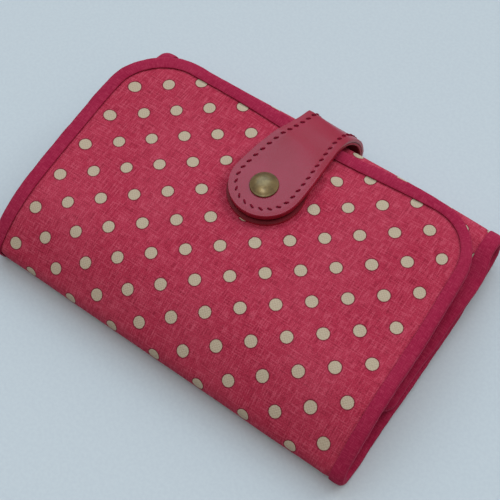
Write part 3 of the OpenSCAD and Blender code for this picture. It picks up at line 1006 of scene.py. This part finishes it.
def plain_material(name, color, dark, rise, rough, shine):
    """One colour with a faint grain."""
    p = Paint(name)
    grain = p.noise(p.solid(), 900.0, 3.0)
    color = p.mix(p.between(grain, 0.3, 0.7), color, dark)
    return p.finish(color, p.bump(grain, rise, 0.05), rough, Specular_IOR_Level=shine)


def dress(obj, material, body):
    """Gives a piece its material and slot, and the body it rides on. A piece given a bend is only baked where
    it stands.
    """
    paint(obj, material)
    if isinstance(body, str):
        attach(obj, body)
    else:
        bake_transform(obj)
    return obj


def bend(a, b, hinge_at, reach):
    x, y, z = hinge_at
    return a, b, (x, y, z - reach), (x, y, z + reach)


over_fold = bend(CASE, FLAP, FLAP_HINGE, FLAP_BEND)
over_loop = bend(CASE, TAB, TAB_HINGE, TAB_BEND)
linen_mat = linen_material()
tape_mat = plain_cloth("binding", TAPE, edge=TAPE_EDGE)
lining_mat = plain_cloth("lining", LINING)
pocket_mat = plain_cloth("pocket_cloth", POCKET)
hide_mat = leather_material("leather", HIDE, rough=0.34, shine=0.52)
backing_mat = leather_material("backing_leather", BACKING, rough=0.5, shine=0.15)
patch_mat = leather_material("patch_leather", PATCH_HIDE, rough=0.5, shine=0.15)
thread_mat = thread_material()
hole_shade_mat = plain_material("needle_hole_shade", HOLE_SHADE_COLOR, HOLE_SHADE_DARK, rise=0.2, rough=0.7, shine=0.5)
brass_mat = metal_material()

def sew_panel(panel_name, label, node, body, rows, edge, seed):
    """A padded panel of a length, with its lining and with the binding along its edge. Gives the
    lining. label starts the names of both, and node those of the CAD's pieces."""
    panel = dress(make_panel(panel_name, rows), linen_mat, body)
    lining = dress(make_lining(f"{label}_lining", rows), lining_mat, body)
    tape, tape_l = make_binding(f"{label}_binding", edge, seed)
    dress(tape, tape_mat, body)
    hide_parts(f"{node}_cover", f"{node}_wadding")
    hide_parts(f"{node}_lining")
    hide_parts(f"{node}_binding")
    return lining


front_lining = sew_panel("front_panel", "front", "flap", over_fold, FRONT_S,
                         outline(FLAP_CORNER_R, S_MAX, 1), seed=5)
rear_lining = sew_panel("back_panel", "rear", "back", CASE, BACK_S,
                        outline(INNER_CORNER_R, S_MIN, -1), seed=9)


# Pockets: thin sheets over the lining, with a turned and stitched hem at the mouth.
POCKET_HALF = WALLET_L / 2 - BINDING_W - POCKET_GAP
HEM_W = 7.0
HEM_T = 0.16
SEAM_LIFT = POCKET_T - 0.14
POCKET_STITCH = {"pitch": 2.7, "length": 2.0, "radius": 0.2, "sink": 0.15}


def make_pocket(name, s_foot, s_mouth, depth, seed):
    """A pocket between the flat places of its foot and its mouth, at a depth under the linen."""
    x, s = np.meshgrid(steps((-POCKET_HALF, 2.0), (POCKET_HALF, 1)), steps((s_foot, 0.9), (s_mouth, 1)))
    near = s_mouth - s
    hemmed = HEM_T * ramp(near, HEM_W, HEM_W - 0.5)
    lip = 0.06 * ramp(near, 1.2, 0)
    wave = 0.07 * ripple(x, s, 19.0, seed) * ramp(np.minimum(POCKET_HALF - np.abs(x), near), 0, 6.0)
    return slab(name, x, s, -depth - wave, -(depth + POCKET_T) + 0.22 - hemmed - wave + lip)


def s_on_flap(y, depth):
    """Flat place of a point at depth under the flap's face, over y."""
    return S_HINGE + float(np.interp(y, beside(flap_rows, depth)[0], flap_rows[:, RUN]))


def s_on_floor(y):
    """Flat place of a point of the base over y."""
    low = back_rows[back_rows[:, RUN] <= arc(LOW_FOLD_R, 90) + flat_l + 2 * arc(LIFT_R, LIFT_A) + high_l]
    return S_HINGE - float(look_up(low, y, Y, RUN))


def add_pocket(label, body, s_foot, s_mouth, depth, seed):
    """A pocket and its hem's seam. label says where "_cloth" and "_seam" go in their names."""
    pocket = make_pocket(label.format("_cloth"), s_foot, s_mouth, depth, seed)
    dress(pocket, pocket_mat, body)
    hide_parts(label.format(""))
    line = [(x, s_mouth - HEM_W) for x in np.linspace(1 - POCKET_HALF, POCKET_HALF - 1, 60)]
    seam, _ = stitches(label.format("_seam"), line, lambda x, s, h: cloth(x, s, -(depth + SEAM_LIFT) - h),
                       **POCKET_STITCH)
    dress(seam, thread_mat, body)


for k, mouth_y in enumerate(CARD_MOUTHS):
    card_depth = PANEL_T + POCKET_GAP + k * (POCKET_T + POCKET_GAP)
    add_pocket(f"card_pocket{{}}_{k + 1}", FLAP, s_on_flap(CARD_FOOT, card_depth),
               s_on_flap(mouth_y, card_depth), card_depth, 31 + k)
add_pocket("note_pocket{}", CASE, s_on_floor(NOTE_POCKET[1]), s_on_floor(NOTE_POCKET[0]),
           PANEL_T + POCKET_GAP, 41)

# The strap's two layers, with rounded edges, a sewing channel and stitches.
strap_spine = spine(0.0, strap_centre)
outer_hide = leather("strap_outer", strap_spine, section_of(0, -LEATHER_T, 0.2, CHANNEL), strap)
dress(outer_hide, hide_mat, over_loop)
inner_spine = strap_spine - (0, 0, 0, 0, BACKING_INSET)
inner_hide = leather("strap_inner", inner_spine, section_of(-LEATHER_T - 0.02, -STRAP_T, 0.12), strap)
dress(inner_hide, backing_mat, over_loop)
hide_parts("tab_leather", "tab_root")
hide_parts("tab_backing")
strap_line = seam_line(strap_spine, SEAM_INSET)


def on_strap(x, t, h):
    """A place over the bottom of the sewing channel, deeper where the strap lies on the table."""
    return strap(x, t, h - CHANNEL - ROOT_SINK * ramp(t, root_run + 5.0, root_run + 1.0))


strap_seam, holes = stitches("strap_stitches", strap_line, on_strap, **STRAP_STITCH)
dress(strap_seam, thread_mat, over_loop)


def make_hole_shades(name, points):
    """Small dark discs where the thread goes in: painted shade of the needle holes."""
    verts, faces, uvs = [], [], []
    around = 8
    a = 2 * pi * np.arange(around) / around
    for x, t in points:
        start = len(verts)
        for r, h in ((HOLE_R, -0.15), (HOLE_R, 0.03), (0.4 * HOLE_R, 0.05)):
            verts.extend(on_strap(x + r * np.cos(a), t + r * np.sin(a), np.full(around, h)))
        uvs.extend([(x, t)] * (3 * around))
        faces += tube_faces(3, around, start)
    return new_object(name, verts, faces, uvs, crease=60)


# Dark discs at the needle holes: painted shade.
strap_hole_shades = make_hole_shades("strap_hole_shades", holes)
dress(strap_hole_shades, hole_shade_mat, over_loop)


# The patch that the stud is set in, sunk in the padding under the tab's head.
def patch_place(x, t, h):
    """Like strap(), but on the flap: t falls toward the flap's free edge as y grows."""
    return cloth(x, S_HINGE + look_up(flap_rows, head_y + T_HEAD - t, Y, RUN), h)


def patch_centre(t):
    """The patch's sides run in under the head, so that only its round end shows."""
    y = head_y + T_HEAD - t
    shown = ramp(y, SNAP_Y + SNAP_OFFSET + 10.0, SNAP_Y + SNAP_OFFSET)
    return tab_x(y), tab_half((y - SNAP_Y) / lean_cos) - TUCK + (PATCH_OVER + TUCK) * shown


patch_spine = spine(T_HEAD - HEAD_R + 1.0, patch_centre)
patch_section = [(d, h - RIM_SINK * float(ramp(d, SEAM_INSET + 3.0, SEAM_INSET)) * (d >= 0), rim)
                 for d, h, rim in section_of(SEAT_Z, -PRESS, 0.15)]
patch = leather("stud_patch_hide", patch_spine, patch_section, patch_place)
dress(patch, patch_mat, FLAP)
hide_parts("stud_patch")
patch_line = seam_line(patch_spine, PATCH_SEAM_INSET)
patch_seam, _ = stitches("patch_stitches", patch_line,
                         lambda x, t, h: patch_place(x, t, h + SEAT_Z - RIM_SINK), **PATCH_STITCH)
dress(patch_seam, thread_mat, FLAP)

# The snap's cap with a rolled rim. Its other pieces keep the frame's shape.
CAP_PROFILE = (
    (0.0, 0.12), (4.3, 0.12), (4.62, 0.0), (4.82, 0.04), (4.9, 0.2), (4.86, 0.38), (4.72, 0.5), (4.5, 0.58),
    (4.2, 0.74), (3.8, 0.98), (3.2, 1.27), (2.6, 1.49), (1.9, 1.69), (1.2, 1.82), (0.6, 1.88), (0.0, 1.9))
cap = dress(revolve("snap_cap_shell", CAP_PROFILE, (SNAP_X, *seat), tab_slope), brass_mat, TAB)
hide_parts("snap_cap")
for name in ("snap_socket", "snap_stud", "stud_washer"):
    paint(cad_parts[name], brass_mat)

# Floor, lights and camera.
FLOOR_COLOR = srgb(190, 205, 213)
FLOOR_DARK = srgb(186, 201, 210)
FLOOR_HALF = 1500.0
FLOOR_Z = -0.1
floor_mat = plain_material("floor", FLOOR_COLOR, FLOOR_DARK, rise=0.1, rough=0.9, shine=0.1)
floor_xy = np.array([(-1, -1), (1, -1), (1, 1), (-1, 1)]) * FLOOR_HALF
floor = new_object("floor", np.column_stack([floor_xy, np.full(4, FLOOR_Z)]), [(0, 1, 2, 3)], floor_xy)
paint(floor, floor_mat)

# The room is dim and warm near the floor and in front, and bright and cool high behind the wallet.
SKY_LOW = (0.12, 0.06, 0.04, 1.0)
SKY_HIGH = (0.88, 0.79, 0.74, 1.0)
SKY_TOWARD = (-0.1, 0.32, 0.94)
SKY_FROM = 0.12
SKY_TO = 0.85
world = bpy.data.worlds.new("studio")
bpy.context.scene.world = world
world.use_nodes = True
sky = world.node_tree.nodes["Background"]
air = Nodes(world.node_tree)
ray = air.add("TexCoord").outputs["Generated"]
facing = air.add("VectorMath", {0: ray, 1: SKY_TOWARD}, operation="DOT_PRODUCT")
above = air.math("SUBTRACT", facing.outputs["Value"], SKY_FROM)
air.feed(sky.inputs["Color"], air.mix(air.math("DIVIDE", above, SKY_TO - SKY_FROM), SKY_LOW, SKY_HIGH))


def lamp(name, toward, spread, strength, color, mirrored=True):
    """A soft sun that shines from a direction. spread is the width of its disc in degrees, and one
    that isn't mirrored only lights, as a window behind a blind would."""
    data = bpy.data.lights.new(name, "SUN")
    data.angle = radians(spread)
    data.energy = strength
    data.color = color
    obj = add_object(name, data)
    obj.rotation_euler = Vector(toward).to_track_quat("Z", "Y").to_euler()
    obj.visible_glossy = mirrored


lamp("window_right", (0.345, 0.775, 0.53), 36.0, 0.95, (0.9, 0.97, 1.0), mirrored=False)
lamp("window_back", (-0.412, 0.457, 0.788), 50.0, 0.8, (0.56, 0.8, 1.0))
lamp("ceiling", (0.0, -0.2, 0.98), 22.0, 0.42, (0.94, 0.98, 1.0))

CAMERA_AT = (0.10834, -0.13000, 0.31078)
CAMERA_RIGHT = (0.8184, 0.57321, -0.04069)
CAMERA_UP = (-0.48727, 0.72974, 0.47964)
CAMERA_LENS = 73.97
camera_data = bpy.data.cameras.new("camera")
camera_data.lens = CAMERA_LENS
camera_data.clip_start = 0.01
camera = add_object("camera", camera_data)
right = Vector(CAMERA_RIGHT).normalized()
up = (Vector(CAMERA_UP) - right * right.dot(Vector(CAMERA_UP))).normalized()
axes = Matrix((right, up, right.cross(up))).transposed()
camera.matrix_world = Matrix.Translation(CAMERA_AT) @ axes.to_4x4()
bpy.context.scene.camera = camera
bpy.context.scene.view_settings.view_transform = "Standard"

bpy.context.view_layer.update()
